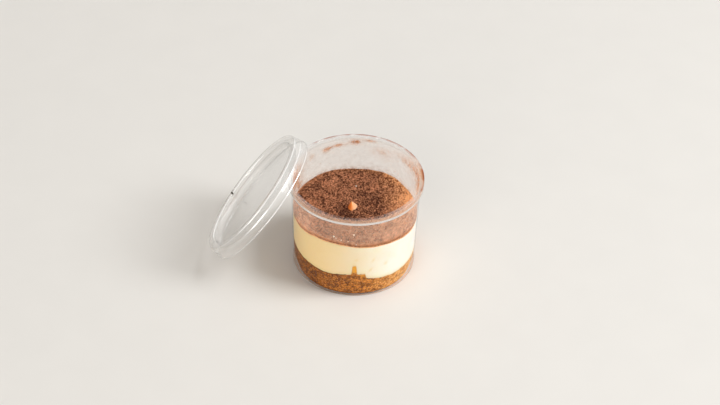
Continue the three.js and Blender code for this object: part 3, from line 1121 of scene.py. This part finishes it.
# Patches of dust on the inner wall: angle in degrees, height, half widths in mm, amount.
PATCHES = (
    (168, 47, 9.0, 8.0, 0.90),
    (156, 39.6, 2.4, 1.8, 0.55),
    (136, 51.5, 2.0, 1.6, 0.35),
    (119, 52.2, 3.0, 1.6, 0.65),
    (108, 53.5, 4.5, 1.2, 0.55),
    (92, 54.8, 3.0, 1.8, 0.85),
    (78, 56.5, 4.0, 1.0, 0.50),
    (66, 50, 6.0, 3.0, 0.25),
    (38, 53, 8.0, 2.4, 0.30),
    (18, 54, 10.0, 4.0, 0.36),
    (4, 47.5, 8.0, 9.0, 0.50),
)

# Flecks of cream on the front wall: angle in degrees, height and radius in mm.
WALL_FLECKS = (
    (-108.7, 42.6, 0.62),
    (-106.5, 41.8, 0.45),
    (-101.7, 41.0, 0.48),
    (-95.3, 40.8, 0.40),
    (-90.1, 45.9, 0.60),
    (-87.8, 38.6, 0.50),
)
COCOA_FLECK = (0.1, 18.5, 0.42)  # place on the cocoa, and radius


def on_corners(values):
    """A value for each grain, given to each of its corners."""
    return np.repeat(values, len(GRAIN_SHAPE))


class TIRAMISU_OT_cocoa_grains(bpy.types.Operator):
    """Scatters loose grains of cocoa over the skin, as one mesh"""

    bl_idname = "tiramisu.cocoa_grains"
    bl_label = "Cocoa grains"

    def execute(self, context):
        pot, food = sizes("tiramisu_pot"), sizes("tiramisu_food")
        random = np.random.default_rng(11)
        reach = inner_radius(food.cocoa_level, pot) - 0.5
        turn = random.uniform(0, 2 * math.pi, food.grain_count)
        radius = reach * np.sqrt(random.uniform(0.005, 1, food.grain_count))
        x, y = radius * np.cos(turn), radius * np.sin(turn)
        beside_tip = np.hypot(x - TIP[0], y - TIP[1]) > TIP_BARE
        x, y = x[beside_tip], y[beside_tip]
        size = GRAIN_RADIUS + GRAIN_SPREAD * random.uniform(0, 1, len(x)) ** 2
        z = cocoa_height(x, y, food) + cocoa_relief(x, y, food) + 0.35 * size
        corners, faces = grains(np.stack([x, y, z], -1), size, 12)
        # The grains take the cocoa's tone and orange, with its painted shade, light and rim
        # highlight.
        marks = {
            "tone": on_corners(cocoa_tone(x, y) + random.uniform(-0.4, 0.45, len(x))),
            "warm": on_corners(cocoa_orange_and_light(x, y, pot, food)),
        }
        material = sifted_cocoa("Loose cocoa grains", food)
        put("cocoa_grains", corners, faces, material, smooth=False, marks=marks)
        return {"FINISHED"}


def wall_cocoa(around, pot, food):
    """Height of the cocoa at the wall, at an angle."""
    radius = inner_radius(food.cocoa_level, pot)
    return cocoa_height(radius * np.cos(around), radius * np.sin(around), food)


def film_top(around, pot):
    """Upper edge of the dust film: just under the lip's top at the back, lower in front."""
    return pot.height - 0.9 - 1.4 * np.clip(0.5 - 2 * np.sin(around), 0, 1)


def wall_radius(z, pot):
    """Radius of the inner wall, which is upright above the lip's lower edge."""
    return np.minimum(inner_radius(z, pot), pot.shoulder - pot.wall)


def dust_amount(a, z, pot, food):
    """How much of the inner wall is covered by dust at an angle and a height, how orange it is
    and how uneven: a fringe along the cocoa, a haze on the front, and the patches."""
    degrees = np.degrees(a)
    radius = inner_radius(z, pot)
    above = z - cocoa_height(radius * np.cos(a), radius * np.sin(a), food)
    front = np.clip(-np.sin(a) + 0.25, 0, 1)
    sides = np.abs(np.cos(a)) ** 3
    right = np.clip(np.cos(a), 0, 1)
    wiped = bell(degrees + 122, 15)
    haze = 0.13 + (0.2 + 0.4 * front) * bell(above, 2.4)
    haze = haze + front * (0.34 + 0.1 * sides + 0.4 * right - 0.26 * wiped)
    patches = np.zeros_like(a)
    for at, height, across, up, most in PATCHES:
        along = np.radians((degrees - at + 180) % 360 - 180) * radius
        patches = patches + most * bell(along, across) * bell(z - height, up)
    broken = 1 + 0.25 * rolling(radius * a, z, 2.2, 41) + 0.25 * rolling(radius * a, z, 1.1, 42)
    covered = np.clip((haze + patches) * broken, 0, 0.9)
    orange = 1.2 * patches + 0.5 * bell(above, 2.5) + 0.5 * bell(above, 1.2) + 0.2 * front * right
    return covered, np.clip(orange, 0, 1), np.clip(0.15 + front + patches, 0, 1)


class TIRAMISU_OT_wall_film(bpy.types.Operator):
    """Builds the film of cocoa dust on the inner wall"""

    bl_idname = "tiramisu.wall_film"
    bl_label = "Film of dust"

    def execute(self, context):
        pot, food = sizes("tiramisu_pot"), sizes("tiramisu_food")
        a = np.linspace(0, 2 * math.pi, FILM_COLUMNS, endpoint=False)
        low, high = wall_cocoa(a, pot, food) + FILM_START, film_top(a, pot)
        rows = np.linspace(0, 1, FILM_ROWS)
        steps = np.concatenate([rows, rows[::-1]])[:, None]
        z = low + (high - low) * steps
        radius = wall_radius(z, pot) - np.repeat(FILM_FACES, FILM_ROWS)[:, None]
        corners, faces = skin(round_axis(radius, a, z), wrap=True)
        x, y, z = corners.T
        covered, orange, uneven = dust_amount(np.arctan2(y, x), z, pot, food)
        # Light crosses both faces of the film, so each carries half of the dust.
        marks = {"dust": 1 - np.sqrt(1 - covered), "rust": orange, "uneven": uneven}
        film = dust_film("Film of cocoa dust", pot)
        put("wall_dust_film", corners, faces, film, marks=marks)
        return {"FINISHED"}


class TIRAMISU_OT_wall_grains(bpy.types.Operator):
    """Scatters the grains of cocoa that stick in the film, more where there is more dust"""

    bl_idname = "tiramisu.wall_grains"
    bl_label = "Grains on the wall"

    def execute(self, context):
        pot, food = sizes("tiramisu_pot"), sizes("tiramisu_food")
        random = np.random.default_rng(23)
        tries = pot.grain_count * 12
        at = random.uniform(-math.pi, math.pi, tries)
        up = random.uniform(0, 1, tries) ** 1.3
        low = wall_cocoa(at, pot, food) + 0.3
        high = film_top(-math.pi / 2, pot) - 0.4
        height = low + (high - low) * up
        kept = random.uniform(0, 1, tries) < dust_amount(at, height, pot, food)[0] * 1.3
        at, height = at[kept][: pot.grain_count], height[kept][: pot.grain_count]
        size = WALL_GRAIN_RADIUS + WALL_GRAIN_SPREAD * random.uniform(0, 1, len(at)) ** 3
        centres = round_axis(wall_radius(height, pot) - 0.5 * size, at, height)
        corners, faces = grains(centres, size, 24)
        marks = {
            "tone": on_corners(random.uniform(0.2, 1.0, len(at))),
            "warm": on_corners(random.uniform(0.2, 0.8, len(at))),
        }
        material = sifted_cocoa("Cocoa grains on the wall", food)
        put("wall_dust_grains", corners, faces, material, smooth=False, marks=marks)
        return {"FINISHED"}


class TIRAMISU_OT_flecks(bpy.types.Operator):
    """Builds the few flecks of cream on the front wall and the one on the cocoa"""

    bl_idname = "tiramisu.flecks"
    bl_label = "Flecks of cream"

    def execute(self, context):
        pot, food = sizes("tiramisu_pot"), sizes("tiramisu_food")
        degrees, z, size = np.transpose(WALL_FLECKS)
        on_wall = round_axis(inner_radius(z, pot) - 0.1, np.radians(degrees), z)
        x, y, last = COCOA_FLECK
        centres = np.vstack([on_wall, (x, y, float(cocoa_height(x, y, food)) + 0.4)])
        corners, faces = grains(centres, np.append(size, last), 31)
        material = plain("Dried cream", food.cream_dried, 0.4)
        put("cream_flecks", corners, faces, material, smooth=False)
        return {"FINISHED"}


class TIRAMISU_OT_crumbs(bpy.types.Operator):
    """Drops a dark crumb and a few pale ones on the leaning lid"""

    bl_idname = "tiramisu.crumbs"
    bl_label = "Crumbs on the lid"

    def execute(self, context):
        lid, food = sizes("tiramisu_lid"), sizes("tiramisu_food")
        on_ring, on_flange = lid.height + 0.1, 0.6
        # Radius, angle in degrees and height about the lid's axis, and size. The first is dark.
        crumbs = (
            (32.9, -37.9, lid.height + 0.4, 1.0),
            (35.7, -43.2, on_ring, 0.35),
            (39.0, 17.9, on_ring, 0.35),
            (40.0, 21.4, on_flange, 0.35),
            (40.0, 53.4, on_flange, 0.35),
        )
        radius, degrees, height, size = np.transpose(crumbs)
        centres = stood(round_axis(radius, np.radians(degrees), height), lid)
        dark = plain("Dark crumb", food.crumb, 0.8)
        pale = plain("Pale crumbs", food.crumb_pale, 0.5)
        for name, part, seed, material, slot in (
            ("lid_crumb", slice(0, 1), 35, dark, "cocoa"),
            ("lid_pale_crumbs", slice(1, None), 36, pale, "cream"),
        ):
            corners, faces = grains(centres[part], size[part], seed)
            put(name, corners, faces, material, smooth=False)
        return {"FINISHED"}


# ---- the stage, in metres ---------------------------------------------------------------

FLOOR_REACH, FLOOR_DROP = 6.0, 1e-4
LIT_POINT = Vector((AXIS.x - 0.01, AXIS.y, 0.02))
LAMP_DISTANCE = 3.0
KEY_STRETCH = 1.4
FILL_SIDE, FILL_HEIGHT, FILL_SIZE = math.radians(-115), math.radians(20), 1.8
WINDOW_HEIGHT, WINDOW_SIZE = math.radians(45), 2.5
KEY_TINT, FILL_TINT, WINDOW_TINT = (0.96, 0.99, 1.0), (1.0, 0.96, 0.88), (1.0, 1.0, 1.0)
SKY_TINT, ROOM_TINT = (1, 0.965, 0.90, 1), (1, 0.98, 0.95, 1)
CAMERA_TARGET = Vector((AXIS.x + 0.0026, AXIS.y, 0.03989))
CAMERA_RISE, CAMERA_ROLL = math.radians(40.1), math.radians(-2.0)
CAMERA_DISTANCE = 1.571
LENS, SENSOR = 140, 36  # focal length and film width, in mm


def lay_floor(scene, stage):
    """A plain pale board under everything."""
    mesh = bpy.data.meshes.new("floor")
    ends = (-FLOOR_REACH, FLOOR_REACH)
    places = [(x, y, -FLOOR_DROP) for y in ends for x in ends]
    mesh.from_pydata(places, [], [(0, 1, 3, 2)])
    mesh.materials.append(plain("Matt painted board", stage.floor, 0.7))
    floor = bpy.data.objects.new("floor", mesh)
    scene.collection.objects.link(floor)


def hang_lamps(scene, stage):
    """The key lights everything but isn't mirrored. The window is the wide bright pane that the
    plastic mirrors, and lights nothing. The fill does both."""
    key, high = stage.key_side, stage.key_height
    for name, side, rise, width, stretch, power, tint in (
        ("key", key, high, stage.key_size, KEY_STRETCH, stage.key_power, KEY_TINT),
        ("fill", FILL_SIDE, FILL_HEIGHT, FILL_SIZE, 1, stage.fill_power, FILL_TINT),
        ("window", key, WINDOW_HEIGHT, WINDOW_SIZE, 1, stage.window_power, WINDOW_TINT),
    ):
        towards = Vector(round_axis(math.cos(rise), side, math.sin(rise)))
        lamp = bpy.data.lights.new(name, "AREA")
        lamp.shape = "RECTANGLE"
        lamp.energy, lamp.color = power, tint
        lamp.size, lamp.size_y = width, width * stretch
        light = bpy.data.objects.new(name, lamp)
        light.visible_glossy = name != "key"
        light.visible_diffuse = name != "window"
        light.location = LIT_POINT + towards * LAMP_DISTANCE
        light.rotation_euler = towards.to_track_quat("Z", "Y").to_euler()
        scene.collection.objects.link(light)


def light_sky(scene, stage):
    """A lit white room shows brighter in the plastic than the soft light that it sends on."""
    scene.world = bpy.data.worlds.new("sky")
    scene.world.use_nodes = True
    tree = scene.world.node_tree
    tree.nodes.clear()
    sent = add(tree, "Background", {"Color": SKY_TINT, "Strength": stage.sky})
    shown = add(tree, "Background", {"Color": ROOM_TINT, "Strength": stage.room})
    mirrored = add(tree, "LightPath", {}, "Is Glossy Ray")
    both = add(tree, "MixShader", {0: mirrored, 1: sent, 2: shown})
    add(tree, "OutputWorld", {"Surface": both})


def place_camera(scene):
    """A long lens in front, looking down at the pot and rolled a little."""
    back = Vector((0, -math.cos(CAMERA_RISE), math.sin(CAMERA_RISE)))
    up = Vector((0, math.sin(CAMERA_RISE), math.cos(CAMERA_RISE)))
    right = Vector((1, 0, 0))
    across = right * math.cos(CAMERA_ROLL) - up * math.sin(CAMERA_ROLL)
    upright = right * math.sin(CAMERA_ROLL) + up * math.cos(CAMERA_ROLL)
    optics = bpy.data.cameras.new("camera")
    optics.lens, optics.sensor_width = LENS, SENSOR
    optics.clip_start, optics.clip_end = 0.1, 20
    camera = bpy.data.objects.new("camera", optics)
    turn = Matrix((across, upright, back)).transposed()
    place = Matrix.Translation(CAMERA_TARGET + back * CAMERA_DISTANCE)
    camera.matrix_world = place @ turn.to_4x4()
    scene.collection.objects.link(camera)
    scene.camera = camera


class TIRAMISU_OT_stage(bpy.types.Operator):
    """Sets the floor, the lights, the sky and the camera"""

    bl_idname = "tiramisu.stage"
    bl_label = "Floor, light and camera"

    def execute(self, context):
        scene, stage = context.scene, context.scene.tiramisu_stage
        lay_floor(scene, stage)
        hang_lamps(scene, stage)
        light_sky(scene, stage)
        place_camera(scene)
        scene.view_settings.view_transform = "Standard"
        # Light crosses many clear faces on its way.
        scene.cycles.max_bounces = 20
        scene.cycles.transmission_bounces = 20
        scene.cycles.transparent_max_bounces = 24
        return {"FINISHED"}


# ---- the add-on -------------------------------------------------------------------------

OPERATORS = (
    TIRAMISU_OT_pot,
    TIRAMISU_OT_lid,
    TIRAMISU_OT_sponge,
    TIRAMISU_OT_cream,
    TIRAMISU_OT_cocoa,
    TIRAMISU_OT_cocoa_grains,
    TIRAMISU_OT_wall_film,
    TIRAMISU_OT_wall_grains,
    TIRAMISU_OT_flecks,
    TIRAMISU_OT_crumbs,
    TIRAMISU_OT_stage,
)


class TIRAMISU_PT_panel(bpy.types.Panel):
    """Lists the pieces and their sizes"""

    bl_label = "Tiramisu"
    bl_idname = "TIRAMISU_PT_panel"
    bl_space_type = "VIEW_3D"
    bl_region_type = "UI"
    bl_category = "Tiramisu"

    def draw(self, context):
        layout = self.layout
        for operator in OPERATORS:
            layout.operator(operator.bl_idname)
        for name in GROUPS:
            box = layout.box()
            group = getattr(context.scene, name)
            for prop in group.bl_rna.properties:
                if prop.identifier not in ("rna_type", "name"):
                    box.prop(group, prop.identifier)


def register():
    for kind in (*GROUPS.values(), *OPERATORS, TIRAMISU_PT_panel):
        bpy.utils.register_class(kind)
    for name, group in GROUPS.items():
        setattr(bpy.types.Scene, name, bpy.props.PointerProperty(type=group))


def unregister():
    for name in GROUPS:
        delattr(bpy.types.Scene, name)
    for kind in (TIRAMISU_PT_panel, *reversed(OPERATORS), *reversed(GROUPS.values())):
        bpy.utils.unregister_class(kind)


def main():
    register()
    for operator in OPERATORS:
        group, name = operator.bl_idname.split(".")
        getattr(getattr(bpy.ops, group), name)()


if __name__ == "__main__":
    main()
